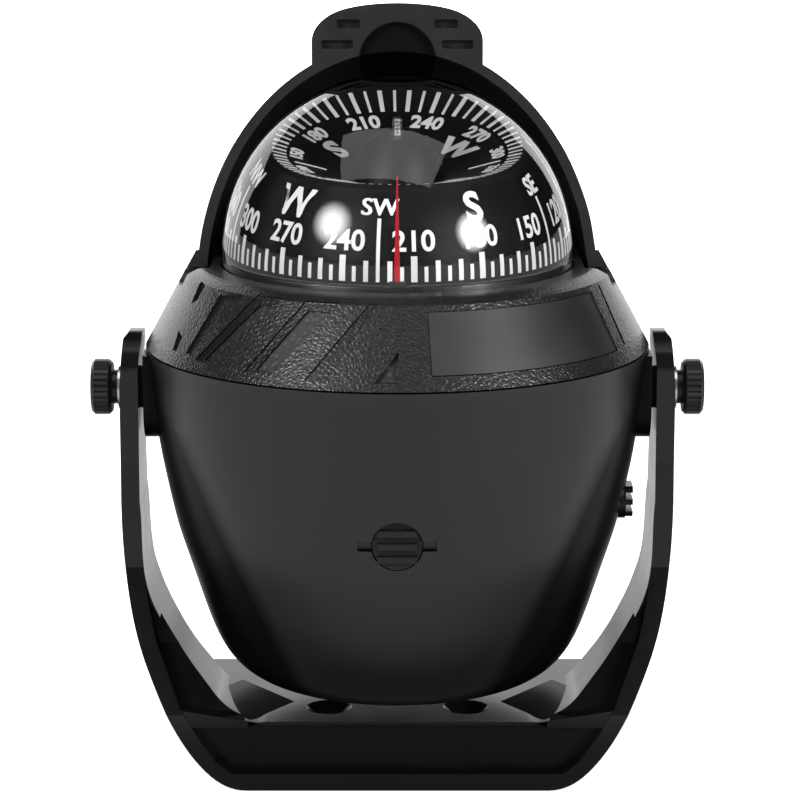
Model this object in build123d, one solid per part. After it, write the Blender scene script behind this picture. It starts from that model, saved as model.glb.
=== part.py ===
from build123d import *
import math
import os

# A bracket-mounted ball compass for a boat. Millimetres, +Z up, front faces -Y.
# Z = 0 is the underside of the bracket; the tilt axis runs along X at PIVOT_Z.

# ---------------------------------------------------------------- main sizes
PIVOT_Z = 60.4          # tilt axis of the housing
SEAM_Z = 67.3           # joint line between housing and bezel
RIM_Z = 79.6            # top lip of the bezel
DOME_Z = 81.4           # centre of the dome sphere
DOME_R = 26.5
DOME_T = 1.5
RUN = 0.05              # running clearance on radii
HALF_TURN = 180

# bracket
FLOOR_Z = 11.0
ARM_IN = 38.9           # inner face of an arm
ARM_OUT = 41.7
ARM_TOP = 69.3
ARM_LEAN = 0.5          # inward lean of an arm at its top
BASE_FRONT = -12.0
BASE_BACK = 19.0
BASE_FLAT = 22.9        # half-width of the flat underside
LIP = 0.5               # thin inner edge round the front web
WEB_RECESS = 2.5
SCREW_DX = 21.0
SCREW_DY = 9.5
SCREW_Y = 0.0
SCREW_R = 1.9
BOLT_R = 2.0            # clamp screw shank

# housing
WALL = 2.2
HOUSING_BOTTOM = 16.2
BOSS_X = 38.0           # outer face of the side bosses
BOSS_HALF_Y = 8.0
BOSS_LOW = 53.4
COVER_R = 17.4
FRONT_COMP_Z = 44.4
SIDE_COMP_Z = 42.9
COMP_R = 3.0
WING_HALF = 5.7         # half-width of the slot across the front compensator
WING_FLOOR = -33.0

# bezel
SEAM_R = 38.0
CONE = 0.543            # radius lost per mm of height
BEZEL_LOW = SEAM_Z + 0.25
BEZEL_BORE = 26.7
SEAT_R = 29.3
SEAT_Z = 75.55
BEZEL_FLOOR = 71.2
SKIRT_IN = 34.6
LONG_SCREW_R = 31.8     # circle of the screws that join bezel and housing
CAPSULE_SCREW_R = 31.1
CAPSULE_TURNS = (20, 90, 160, 200, 270, 340)

# hood
HOOD_Y = 2.0            # hinge axis of the hood
HOOD_Z = 75.4
HOOD_A = 30.4           # half-width of the hood
HOOD_B = 37.0           # radius of the hood about its hinge
HOOD_T = 1.5
HOOD_LEAN = 7.0         # degrees that its front edge leans back
HOOD_LOW = 71.4         # lower edge at the back
EAR_R = 3.0
EAR_X = 30.7
PIN_END = 32.6          # outer end of a hood pin, inside its ear
TAB_HALF = 12.9         # half-width of the thumb tab
TAB_TOP = 42.7          # height of its top above the hinge, up the lean

# card and gimbal
GIMBAL_Z = DOME_Z - 3.0
RING_IN = 20.2
RING_OUT = 22.0
RING_H = 3.2
PIN_R = 0.6
CARD_LOW_R = 18.4
CARD_LOW_Z = DOME_Z - 2.0
CARD_MID_R = 17.4
CARD_MID_Z = DOME_Z + 4.8
CARD_TOP_R = 14.6
CARD_TOP_Z = DOME_Z + 11.0
CARD_T = 0.8
DISH = 0.30             # fall of the dial per mm towards its middle
HUB_LOW_R = 5.2
HUB_TOP_R = 2.2
HUB_TOP_Z = DOME_Z + 13.2
HUB_LOW_Z = CARD_TOP_Z - DISH * (CARD_TOP_R - HUB_LOW_R)
FLOAT_R = 9.6
FLOAT_LOW = DOME_Z + 3.2
TIP_Z = DOME_Z + 6.0


def rev(points):
    """Solid of revolution about Z from (radius, height) points."""
    face = make_face(Plane.XZ * Polyline(*points, close=True))
    return revolve(face, Axis.Z)


def cyl(radius, low, high, x=0.0, y=0.0):
    """Upright cylinder between two heights."""
    return Pos(x, y, (low + high) / 2) * Cylinder(radius, high - low)


def cyl_x(radius, x0, x1, y=0.0, z=0.0):
    """Cylinder along X between two positions."""
    return Pos((x0 + x1) / 2, y, z) * Rot(0, 90, 0) * Cylinder(radius, abs(x1 - x0))


def cyl_y(radius, y0, y1, x=0.0, z=0.0):
    """Cylinder along Y between two positions."""
    return Pos(x, (y0 + y1) / 2, z) * Rot(90, 0, 0) * Cylinder(radius, abs(y1 - y0))


def box(x0, x1, y0, y1, z0, z1):
    """Box between limits."""
    return Pos((x0 + x1) / 2, (y0 + y1) / 2, (z0 + z1) / 2) * Box(x1 - x0, y1 - y0, z1 - z0)


def polar(radius, degrees):
    """X and Y of a point on a circle, measured from +X."""
    turn = math.radians(degrees)
    return radius * math.cos(turn), radius * math.sin(turn)


def flip(shape):
    """The same shape turned half round about Z."""
    return Rot(0, 0, HALF_TURN) * shape


def xz_prism(wire_points, y0, y1):
    """Prism along Y from (x, z) points."""
    face = make_face(Plane.XZ * Polyline(*wire_points, close=True))
    return Pos(0, y1, 0) * extrude(face, amount=y1 - y0, dir=(0, -1, 0))


def yz_prism(wire_points, x0, x1):
    """Prism along X from (y, z) points."""
    face = make_face(Plane.YZ * Polyline(*wire_points, close=True))
    return Pos(x0, 0, 0) * extrude(face, amount=x1 - x0, dir=(1, 0, 0))


def cone_r(z):
    """Outer radius of the bezel at a height."""
    return SEAM_R - CONE * (z - SEAM_Z)


# ------------------------------------------------------------------- bracket
OUTER = [(BASE_FLAT, 0), (27.0, 1.2), (29.9, 3.8), (32.6, 7.5), (36.4, 15.2), (38.9, 21.8),
         (40.6, 29.5), (41.4, 36.5), (ARM_OUT, 44.0)]
INNER = [(ARM_IN, 44.0), (38.6, 38.0), (38.0, 31.7), (36.7, 28.0), (35.2, 25.2), (33.5, 22.4), (31.4, 19.2),
         (29.1, 16.2), (26.9, 13.5), (25.0, 12.0), (23.1, 11.2), (20.0, FLOOR_Z)]
STRIP = [(38.0, 31.0), (37.7, 28.5), (36.6, 23.0), (35.5, 20.0), (33.0, 13.2), (30.6, 8.9), (27.7, 4.6),
         (25.2, 2.6)]
INNER_LIP = [(37.3, 29.0), (34.5, 24.9), (30.9, 19.5), (28.6, 16.4), (26.5, 13.8), (24.8, 12.5), (22.9, 11.6),
             (20.0, FLOOR_Z)]
SIDE = [(BASE_FRONT, 0), (BASE_BACK, 0), (BASE_BACK, FLOOR_Z + 0.4), (5.5, FLOOR_Z + 0.4), (4.8, 14.0),
        (4.7, 18.5), (5.2, 22.0), (6.8, 25.5), (8.8, 29.0), (9.4, 34.0), (8.4, 42.0), (6.8, 52.0),
        (6.0, ARM_TOP), (-6.0, ARM_TOP), (-6.2, 50.0), (-7.4, 34.0), (-9.6, 22.0), (BASE_FRONT, 12.0)]


def bracket_side():
    """Side view of the bracket, as a wide prism with softened corners."""
    block = yz_prism(SIDE, -60, 60)
    corners = block.edges().filter_by(Axis.X).filter_by_position(Axis.Z, ARM_TOP - 1, ARM_TOP + 1)
    return fillet(corners, 5.4)


def gusset():
    """Low three-cornered facet where the right arm meets the floor."""
    foot = [(15.9, -2.0), (22.7, -11.8), (34.0, -11.8), (34.0, 4.6), (26.2, 4.6)]
    face = make_face(Polyline(*foot, close=True))
    block = Pos(0, 0, FLOOR_Z - 1) * extrude(face, amount=2.9, dir=(0, 0, 1))
    slope = Plane(origin=(15.9, -2.0, FLOOR_Z), x_dir=(6.8, -9.8, 0), z_dir=(-0.16, -0.11, 1))
    return block & (slope * Pos(0, 0, -20) * Box(120, 120, 40))


def bracket():
    """U-shaped bracket with recessed front web, rear foot, screw holes and arm holes."""
    right = Spline(*OUTER)
    top_out = ARM_OUT - ARM_LEAN
    tip = Polyline((ARM_OUT, 44.0), (ARM_OUT, PIVOT_Z + 1), (top_out, ARM_TOP - 0.8),
                   (top_out - 0.8, ARM_TOP), (ARM_IN - ARM_LEAN, ARM_TOP), (ARM_IN, PIVOT_Z + 3.5), INNER[0])
    foot = Polyline(INNER[-1], (0, FLOOR_Z), (0, 0), (BASE_FLAT, 0))
    half_face = make_face(Plane.XZ * (right + tip + Spline(*INNER) + foot))
    half = Pos(0, BASE_BACK, 0) * extrude(half_face, amount=BASE_BACK - BASE_FRONT, dir=(0, -1, 0))
    side = bracket_side()
    half = half & side
    # front web, set back behind the outer strip and the thin inner edge
    edge = [(x, z - LIP) for x, z in INNER_LIP]
    window = STRIP + [(-1, STRIP[-1][1]), (-1, FLOOR_Z - LIP)] + list(reversed(edge))
    recess = xz_prism(window, BASE_FRONT - 2, 0) - Pos(0, WEB_RECESS, 0) * side
    half = half - recess + gusset()
    body = half + mirror(half, about=Plane.YZ)
    # cored underside with four screw pillars
    core = box(-20, 20, -7.5, BASE_BACK - 2.5, -1, FLOOR_Z - 2.6)
    for sx in (-1, 1):
        for sy in (-1, 1):
            core = core - cyl(3.4, -2, FLOOR_Z, sx * SCREW_DX / 2, SCREW_Y + sy * SCREW_DY / 2)
    body = body - core
    for sx in (-1, 1):
        for sy in (-1, 1):
            x = sx * SCREW_DX / 2
            y = SCREW_Y + sy * SCREW_DY / 2
            body = body - cyl(SCREW_R, -1, FLOOR_Z + 1, x, y)
            sink = Pos(x, y, FLOOR_Z - 0.8) * Cone(SCREW_R, SCREW_R + 1.6, 1.6)
            body = body - sink
    body = body - cyl_x(BOLT_R + 0.1, ARM_IN - 1, ARM_OUT + 1, 0, PIVOT_Z)
    body = body - cyl_x(BOLT_R + 0.1, -ARM_OUT - 1, -ARM_IN + 1, 0, PIVOT_Z)
    return body


def serrated_washer():
    """Toothed detent washer on the inside of the right arm."""
    disc = cyl_x(3.2, BOSS_X + 0.05, ARM_IN, 0, PIVOT_Z)
    for k in range(18):
        tooth = Pos(0, 0, 3.2) * Rot(0, 0, 45) * Box(0.5, 0.5, 0.5)
        tooth = Pos(BOSS_X, 0, PIVOT_Z) * Rot(k * 20, 0, 0) * Pos(0.2, 0, 0) * tooth
        disc = disc - tooth
    return disc - cyl_x(BOLT_R + 0.1, BOSS_X - 1, ARM_IN + 1, 0, PIVOT_Z)


# --------------------------------------------------------------- thumbscrews
HEAD_R = 4.2
HEAD_IN = 43.2
HEAD_OUT = 46.3
NECK_IN = 42.25
KNURLS = 28


def thumbscrew():
    """Right-hand thumbscrew with a knurled head, a stepped neck and a plain shank."""
    head = cyl_x(HEAD_R, HEAD_IN, HEAD_OUT, 0, PIVOT_Z)
    head = chamfer(head.edges().filter_by(GeomType.CIRCLE), 0.45)
    for k in range(KNURLS):
        notch = Pos(0, 0, HEAD_R + 0.12) * Rot(45, 0, 0) * Box(2.0, 0.5, 0.5)
        head = head - Pos((HEAD_IN + HEAD_OUT) / 2, 0, PIVOT_Z) * Rot(k * 360 / KNURLS, 0, 0) * notch
    head = head - cyl_x(2.4, HEAD_OUT - 0.35, HEAD_OUT + 1, 0, PIVOT_Z)
    neck = cyl_x(2.6, NECK_IN, HEAD_IN, 0, PIVOT_Z)
    shank = cyl_x(BOLT_R, 31.6, NECK_IN + 0.1, 0, PIVOT_Z)
    return head + neck + shank


def captive_washer():
    """Washer that travels in and out with the thumbscrew."""
    ring = cyl_x(3.3, ARM_OUT, NECK_IN, 0, PIVOT_Z)
    return ring - cyl_x(BOLT_R + RUN, ARM_OUT - 1, NECK_IN + 1, 0, PIVOT_Z)


def thread_insert():
    """Brass threaded insert in the right side boss."""
    sleeve = cyl_x(3.2, 31.0, BOSS_X - 0.6, 0, PIVOT_Z)
    flange = cyl_x(3.9, 31.0, 31.9, 0, PIVOT_Z)
    return sleeve + flange - cyl_x(BOLT_R + RUN, 30, BOSS_X, 0, PIVOT_Z)


# ------------------------------------------------------------------- housing
BUCKET = [(19.0, HOUSING_BOTTOM), (22.3, 17.0), (25.2, 19.1), (27.7, 22.9), (29.2, 26.7), (31.7, 34.4),
          (33.5, 40.1), (34.4, 43.9), (35.9, 51.4), (37.1, 60.0), (SEAM_R, SEAM_Z)]


def bucket(inset, low):
    """Solid of the bucket shape, smaller by inset, from a height up to the seam."""
    points = [(max(r - inset, 0.1), z) for r, z in BUCKET]
    wall = Spline(*points)
    start = points[0]
    end = points[-1]
    rest = Polyline(end, (0, end[1]), (0, start[1]), start)
    solid = revolve(make_face(Plane.XZ * (wall + rest)), Axis.Z)
    return solid & cyl(60, low, SEAM_Z)


def comp_front(shape_radius, y0, y1):
    """Cylinder on the axis of the front compensator."""
    return cyl_y(shape_radius, y0, y1, 0, FRONT_COMP_Z)


def comp_side(shape_radius, x0, x1):
    """Cylinder on the axis of the side compensator."""
    return cyl_x(shape_radius, x0, x1, 0, SIDE_COMP_Z)


def housing():
    """Lower housing: a bucket with side bosses, screw pillars and compensator tubes."""
    outer = bucket(0, HOUSING_BOTTOM)
    pad = box(32, BOSS_X, -BOSS_HALF_Y, BOSS_HALF_Y, BOSS_LOW, SEAM_Z - 0.6)
    low_edges = pad.edges().filter_by(Axis.X).filter_by_position(Axis.Z, BOSS_LOW - 1, BOSS_LOW + 1)
    pad = fillet(low_edges, 5.0)
    outer = outer + pad + flip(pad)
    shell = outer - bucket(WALL, HOUSING_BOTTOM + WALL)
    inside = bucket(0.6, HOUSING_BOTTOM)
    extra = comp_front(4.9, -34.6, -8.0) + comp_side(4.9, 8.5, 34.6)
    for k in range(4):
        x, y = polar(LONG_SCREW_R, 45 + 90 * k)
        extra = extra + cyl(3.2, 57.5, SEAM_Z - 0.4, x, y)
    for k in range(3):
        x, y = polar(15.2, 90 + 120 * k)
        extra = extra + cyl(2.5, HOUSING_BOTTOM + 0.4, 23.5, x, y)
    for sign in (-1, 1):
        extra = extra + cyl_x(5.0, sign * 31.9, sign * 36.5, 0, PIVOT_Z)
    shell = shell + (extra & inside)
    # compensator bores with a wider mouth for the knob
    shell = shell - comp_front(COMP_R + RUN, -40, -9.5) - comp_front(3.75, -40, -31.6)
    shell = shell - comp_side(COMP_R + RUN, 10.0, 40) - comp_side(3.2, 31.6, 40)
    # shallow slot on each side of the front knob, for a fingernail or a coin
    shell = shell - box(-WING_HALF, WING_HALF, -40, WING_FLOOR, FRONT_COMP_Z - 0.78, FRONT_COMP_Z + 0.78)
    for k in range(4):
        x, y = polar(LONG_SCREW_R, 45 + 90 * k)
        shell = shell - cyl(1.6, 56, SEAM_Z + 1, x, y)
    # bottom opening, recess for the cover and its screw holes
    shell = shell - cyl(12.4, HOUSING_BOTTOM - 1, 22) - cyl(COVER_R + 0.1, HOUSING_BOTTOM - 1, 17.4)
    for k in range(3):
        x, y = polar(15.2, 90 + 120 * k)
        shell = shell - cyl(1.0, 16, 22.5, x, y)
    # seats of the threaded inserts
    for sign in (-1, 1):
        shell = shell - cyl_x(3.2, sign * 31.0, sign * (BOSS_X - 0.6), 0, PIVOT_Z)
        shell = shell - cyl_x(BOLT_R + 0.3, sign * 31.0, sign * (BOSS_X + 1), 0, PIVOT_Z)
        shell = shell - cyl_x(3.95, sign * 30.0, sign * 31.9, 0, PIVOT_Z)
    return shell


def bottom_cover():
    """Round service cover in the bottom of the housing."""
    disc = cyl(COVER_R, HOUSING_BOTTOM, 17.35) + cyl(12.3, 17.2, 18.4)
    for k in range(3):
        x, y = polar(15.2, 90 + 120 * k)
        disc = disc - cyl(1.1, 16, 18, x, y) - cyl(1.9, 16, 16.85, x, y)
    return disc - cyl(3.5, HOUSING_BOTTOM - 1, HOUSING_BOTTOM + 0.3)


def small_screw(radius, head_r, head_h, tip, face, x, y):
    """Upright screw pointing up: head below a face, shank up to its tip, with a cross slot."""
    shape = cyl(head_r, face - head_h, face, x, y) + cyl(radius, face, tip, x, y)
    slot = head_r * 1.3
    cross = box(x - slot / 2, x + slot / 2, y - 0.2, y + 0.2, face - head_h - 1, face - head_h + 0.5)
    cross = cross + box(x - 0.2, x + 0.2, y - slot / 2, y + slot / 2, face - head_h - 1, face - head_h + 0.5)
    return shape - cross


# --------------------------------------------------------------------- bezel
RECESS_T = 0.75
STEP_T = 0.32


def bezel_blank(inset=0.0):
    """Outer cone of the bezel as a solid, smaller by inset."""
    return rev([(0, BEZEL_LOW), (cone_r(BEZEL_LOW) - inset, BEZEL_LOW), (cone_r(78.7) - inset, 78.7),
                (30.3 - inset, 79.45), (29.6 - inset, RIM_Z), (0, RIM_Z)])


def patch_prism(corners):
    """Prism through the bezel wall, cut square to the wall at the middle of a patch."""
    mid = sum(turn for turn, z in corners) / len(corners)
    reach = 60.0
    flat = []
    for turn, z in corners:
        step = math.radians(turn - mid)
        flat.append((cone_r(z) * math.sin(step), z))
    face = make_face(Plane.XZ * Polyline(*flat, close=True))
    return Rot(0, 0, mid) * extrude(face, amount=reach, dir=(0, -1, 0))


def patches(corner_lists):
    """Several patch prisms as one cutting shape."""
    solids = [patch_prism(corners) for corners in corner_lists]
    total = solids[0]
    for solid in solids[1:]:
        total = total + solid
    return total


def shallow_cuts():
    """Outlines of the slanted recesses on the left of the front; they leave a smooth step."""
    return patches([
        [(-39.2, 78.9), (-30.8, 78.9), (-47.3, 69.2), (-51.9, 69.2)],
        [(-24.2, 78.9), (-14.6, 78.9), (-28.7, 69.0), (-35.8, 69.0)],
        [(-7.2, 78.9), (-5.0, 78.9), (-15.5, 68.6), (-20.6, 68.6)],
        [(-52.7, 78.0), (-44.0, 78.6), (-54.0, 69.6), (-56.4, 69.7)],
    ])


def deep_cuts():
    """Stippled floors of two recesses, two short slits at the side and a small triangle in the middle."""
    return patches([
        [(-37.6, 77.7), (-32.6, 77.7), (-47.0, 69.4), (-49.2, 69.4)],
        [(-23.2, 77.6), (-16.6, 77.6), (-28.7, 69.2), (-33.2, 69.2)],
        [(-65.5, 78.9), (-61.6, 78.7), (-62.1, 76.6), (-64.5, 75.8)],
        [(-64.5, 72.1), (-61.1, 71.4), (-60.8, 69.5), (-62.7, 69.4)],
        [(-5.0, 68.7), (0.3, 68.7), (0.3, 72.8)],
    ])


def panel(grow=0.0):
    """Layer for the inset panel on the right of the front, between two turns and two heights."""
    low = 69.5 - grow
    high = 77.9 + grow
    band = rev([(0, low), (60, low), (60, high), (0, high)])
    first = 7.5 - grow * 1.7
    last = 61.0 + grow * 1.7
    wedge = [(0, 0)]
    for k in range(9):
        turn = math.radians(first + (last - first) * k / 8)
        wedge.append((80 * math.sin(turn), -80 * math.cos(turn)))
    pie = Pos(0, 0, 60) * extrude(make_face(Polyline(*wedge, close=True)), amount=30, dir=(0, 0, 1))
    return band & pie


def hood_pocket(sign):
    """Space that one ear of the hood turns in."""
    deep = cyl_x(EAR_R + 0.2, sign * (EAR_X - 0.1), sign * 41, HOOD_Y, HOOD_Z)
    upper = cyl_x(8.6, sign * 27.9, sign * 41, HOOD_Y, HOOD_Z) & box(-50, 50, -20, 30, 76.7, 90)
    return deep + upper


def bezel():
    """Conical bezel ring with a counterbored seat for the dome."""
    ring = bezel_blank()
    ring = ring - cyl(BEZEL_BORE, 60, 90) - cyl(SEAT_R, 60, SEAT_Z) - cyl(SKIRT_IN, 60, BEZEL_FLOOR)
    boss = None
    for k in range(4):
        x, y = polar(LONG_SCREW_R, 45 + 90 * k)
        pillar = cyl(3.0, BEZEL_LOW, BEZEL_FLOOR + 0.5, x, y)
        boss = pillar if boss is None else boss + pillar
    ring = ring + (boss & bezel_blank(0.5)) - cyl(SEAT_R, BEZEL_FLOOR, SEAT_Z)
    skin = bezel_blank() - bezel_blank(RECESS_T)
    ring = ring - (deep_cuts() & skin) - (shallow_cuts() & (bezel_blank() - bezel_blank(STEP_T)))
    thin = bezel_blank() - bezel_blank(0.45)
    ring = ring - (panel() & thin)
    groove = patch_prism([(66.6, 78.3), (67.6, 78.3), (66.0, 70.0), (65.0, 70.0)])
    ring = ring - (groove & skin)
    ring = ring - hood_pocket(-1) - hood_pocket(1)
    for sign in (-1, 1):
        ring = ring - cyl_x(1.0, sign * 29.8, sign * 31.5, HOOD_Y, HOOD_Z)
    for k in range(4):
        x, y = polar(LONG_SCREW_R, 45 + 90 * k)
        ring = ring - cyl(1.5, 60, 74.0, x, y)
    for turn in CAPSULE_TURNS:
        x, y = polar(CAPSULE_SCREW_R, turn)
        ring = ring - cyl(1.2, 60, 75.2, x, y)
    return ring


def bezel_panel():
    """Smooth inlay in the inset panel."""
    layer = bezel_blank(0.12) - bezel_blank(0.45)
    return panel(-0.12) & layer


# ------------------------------------------------------------------- capsule
FLANGE_R = 29.2
FLANGE_LOW = 73.5
CAPSULE_IN = 24.3
FLANGE_FACE = 69.0      # underside of the capsule's screwed flange
PLUG_X = 19.0


def dome():
    """Clear dome: part of a sphere with a flange at its foot."""
    ball = Pos(0, 0, DOME_Z) * Sphere(DOME_R) & cyl(60, FLANGE_LOW, 120)
    foot = cyl(FLANGE_R, FLANGE_LOW, SEAT_Z - 0.05)
    inner = Pos(0, 0, DOME_Z) * Sphere(DOME_R - DOME_T) & cyl(60, SEAT_Z - 0.05, 120)
    return ball + foot - inner - cyl(CAPSULE_IN, 60, SEAT_Z)


def capsule_base():
    """Cup below the dome with a screwed flange, an O-ring groove and two gimbal posts."""
    cup = rev([(0, 63.8), (25.9, 63.8), (25.9, FLANGE_FACE), (32.3, FLANGE_FACE), (32.3, BEZEL_FLOOR),
               (FLANGE_R - 0.05, BEZEL_FLOOR), (FLANGE_R - 0.05, FLANGE_LOW), (CAPSULE_IN, FLANGE_LOW),
               (CAPSULE_IN, 65.3), (0, 65.3)])
    groove = rev([(26.0, 72.6), (28.0, 72.6), (28.0, 74), (26.0, 74)])
    cup = cup - groove - cyl(9.0, 60, 70) - cyl(1.8, 60, 70, PLUG_X, 0)
    for k in range(4):
        x, y = polar(LONG_SCREW_R, 45 + 90 * k)
        cup = cup - cyl(3.3, 60, BEZEL_FLOOR + 0.1, x, y)
    for turn in CAPSULE_TURNS:
        x, y = polar(CAPSULE_SCREW_R, turn)
        cup = cup - cyl(1.3, 60, 75, x, y)
    for k in range(4):
        x, y = polar(13.5, 45 + 90 * k)
        cup = cup - cyl(0.8, 60, 64.9, x, y)
    for sign in (-1, 1):
        low, high = sorted((sign * 22.6, sign * 23.7))
        post = box(-2.0, 2.0, low, high, 65.0, GIMBAL_Z + 1.6)
        rib = box(-2.0, 2.0, *sorted((sign * 23.0, sign * 24.6)), 65.0, FLANGE_LOW - 0.6)
        cup = cup + post + rib
        cup = cup - cyl_y(PIN_R, sign * 22, sign * 24, 0, GIMBAL_Z)
    return cup


def dome_seal():
    """O-ring between dome and capsule base."""
    return Pos(0, 0, 73.05) * Torus(27.0, 0.44)


def diaphragm():
    """Thin convoluted rubber disc that lets the liquid expand."""
    return rev([(0, 63.0), (3, 63.0), (4, 64.6), (5, 64.6), (6, 62.6), (7.2, 62.6), (8.2, 63.0), (12.0, 63.0),
                (12.0, 63.8), (8.0, 63.8), (7.0, 63.3), (6.4, 63.3), (5.5, 65.2), (3.6, 65.2), (2.6, 63.7),
                (0, 63.7)])


def diaphragm_retainer():
    """Ring that clamps the edge of the diaphragm."""
    ring = cyl(15.0, 61.4, 63.0) - cyl(9.0, 60, 64)
    rim = cyl(15.0, 62.9, 63.8) - cyl(12.1, 60, 64)
    ring = ring + rim
    for k in range(4):
        x, y = polar(13.5, 45 + 90 * k)
        ring = ring - cyl(0.8, 60, 65, x, y)
    return ring


def fill_plug():
    """Screw plug in the filling hole."""
    return cyl(2.8, 62.2, 63.8, PLUG_X, 0) + cyl(1.8, 63.8, 66.2, PLUG_X, 0)


# ------------------------------------------------------------ gimbal and card
def gimbal_ring():
    """Outer gimbal ring: rolls about Y on two pins."""
    ring = cyl(RING_OUT, GIMBAL_Z - RING_H / 2, GIMBAL_Z + RING_H / 2)
    ring = ring - cyl(RING_IN, GIMBAL_Z - RING_H, GIMBAL_Z + RING_H)
    ring = fillet(ring.edges().filter_by(GeomType.CIRCLE), 0.4)
    for sign in (-1, 1):
        ring = ring - cyl_y(PIN_R + RUN, sign * 19, sign * 23, 0, GIMBAL_Z)
        ring = ring - cyl_x(PIN_R, sign * 19, sign * 21.6, 0, GIMBAL_Z)
    foot = box(-1.1, 1.1, -22.0, -20.8, GIMBAL_Z + 0.9, GIMBAL_Z + 2.2)
    return ring + foot - box(-0.4, 0.4, -21.8, -21.0, GIMBAL_Z + 1.2, GIMBAL_Z + 3)


def lubber_line():
    """Slim tapered needle that stands on the front of the gimbal ring."""
    low = GIMBAL_Z + 1.2
    high = DOME_Z + 13.4
    side = [(-21.8, low), (-21.0, low), (-21.0, low + 1.2), (-20.4, DOME_Z + 4), (-18.9, high), (-19.1, high),
            (-21.1, DOME_Z + 4), (-21.8, low + 1.2)]
    blade = yz_prism(side, -0.4, 0.4)
    taper = [(-0.4, low - 1), (0.4, low - 1), (0.4, low + 2), (0.08, high + 0.1), (-0.08, high + 0.1),
             (-0.4, low + 2)]
    front = xz_prism(taper, -30, -10)
    return blade & front


def gimbal_pins(roll):
    """Two small pins: roll pins along Y, or pitch pins along X."""
    if roll:
        return cyl_y(PIN_R, -23.7, -20.5, 0, GIMBAL_Z) + cyl_y(PIN_R, 20.5, 23.7, 0, GIMBAL_Z)
    return cyl_x(PIN_R, -21.6, -19.1, 0, GIMBAL_Z) + cyl_x(PIN_R, 19.1, 21.6, 0, GIMBAL_Z)


def cradle():
    """Cross bar hung on the pitch pins, with a hub that holds the pivot pin."""
    bar = box(-19.9, 19.9, -1.7, 1.7, GIMBAL_Z - 2.6, GIMBAL_Z - 1.4)
    for sign in (-1, 1):
        low, high = sorted((sign * 18.9, sign * 19.9))
        ear = box(low, high, -1.7, 1.7, GIMBAL_Z - 2.0, GIMBAL_Z + 1.4)
        bar = bar + ear - cyl_x(PIN_R + RUN, sign * 18, sign * 21, 0, GIMBAL_Z)
    bar = bar + cyl(2.6, GIMBAL_Z - 5.0, GIMBAL_Z + 0.5)
    return bar - cyl(0.8, GIMBAL_Z - 4, GIMBAL_Z + 2)


def pivot_pin():
    """Hard pointed pin that the card turns on."""
    return cyl(0.8, GIMBAL_Z - 4, TIP_Z - 1.4) + Pos(0, 0, TIP_Z - 0.7) * Cone(0.8, 0.12, 1.4)


def balance_weight():
    """Weight under the cradle that keeps it level."""
    return rev([(0, 69.6), (6.4, 69.6), (7.0, 70.2), (7.0, 72.8), (6.4, GIMBAL_Z - 5.0), (0, GIMBAL_Z - 5.0)])


def card_skirt():
    """Curved outer wall of the card that is read from the front."""
    top_z = CARD_TOP_Z - 0.7
    outer = ((CARD_LOW_R, CARD_LOW_Z), (CARD_MID_R, CARD_MID_Z), (CARD_TOP_R, top_z))
    inner = ((CARD_TOP_R - CARD_T, top_z - 0.3), (CARD_MID_R - CARD_T, CARD_MID_Z),
             (CARD_LOW_R - CARD_T, CARD_LOW_Z))
    wire = ThreePointArc(*outer) + Line(outer[2], inner[0]) + ThreePointArc(*inner) + Line(inner[2], outer[0])
    return revolve(make_face(Plane.XZ * wire), Axis.Z)


def card_dial():
    """Shallow dished dial on top of the skirt, read from above against its far side."""
    return rev([(HUB_LOW_R, HUB_LOW_Z), (CARD_TOP_R, CARD_TOP_Z), (CARD_TOP_R, CARD_TOP_Z - 0.7),
                (HUB_LOW_R, HUB_LOW_Z - 0.8)])


def card_float():
    """Hollow float under the dial, with a hub that rises through its middle."""
    high = HUB_LOW_Z - 0.8
    outer = [(0, FLOAT_LOW), (FLOAT_R, FLOAT_LOW), (FLOAT_R, high), (HUB_LOW_R, high), (HUB_LOW_R, HUB_LOW_Z)]
    hub = ThreePointArc((HUB_LOW_R, HUB_LOW_Z), (HUB_TOP_R + 1.4, HUB_TOP_Z - 1.5), (HUB_TOP_R, HUB_TOP_Z))
    wire = Polyline(*outer) + hub + Polyline((HUB_TOP_R, HUB_TOP_Z), (0, HUB_TOP_Z), (0, FLOAT_LOW))
    body = revolve(make_face(Plane.XZ * wire), Axis.Z)
    chamber = rev([(2.8, FLOAT_LOW + 0.8), (FLOAT_R - 0.8, FLOAT_LOW + 0.8), (FLOAT_R - 0.8, high - 0.8),
                   (2.8, high - 0.8)])
    return body - chamber - cyl(1.6, FLOAT_LOW - 1, TIP_Z + 1.9) - cyl(0.9, HUB_TOP_Z - 2, HUB_TOP_Z + 1)


def pivot_cup():
    """Jewel cup that rests over the pivot pin."""
    cup = cyl(1.6, TIP_Z - 0.5, TIP_Z + 1.9)
    return cup - Pos(0, 0, TIP_Z) * Cone(1.25, 0.2, 1.0) - cyl(1.25, TIP_Z - 2, TIP_Z - 0.5)


def card_stud():
    """Threaded balance stud on top of the card's hub."""
    stud = cyl(0.9, HUB_TOP_Z - 2, HUB_TOP_Z) + cyl(0.42, HUB_TOP_Z, HUB_TOP_Z + 2.1)
    for k in range(4):
        low = HUB_TOP_Z + 0.15 + 0.48 * k
        stud = stud + cyl(0.56, low, low + 0.28)
    return stud


def card_magnets():
    """Two parallel bar magnets under the float."""
    bars = box(-7.5, 7.5, 3.6, 5.6, FLOAT_LOW - 1.8, FLOAT_LOW)
    return bars + box(-7.5, 7.5, -5.6, -3.6, FLOAT_LOW - 1.8, FLOAT_LOW)


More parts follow.
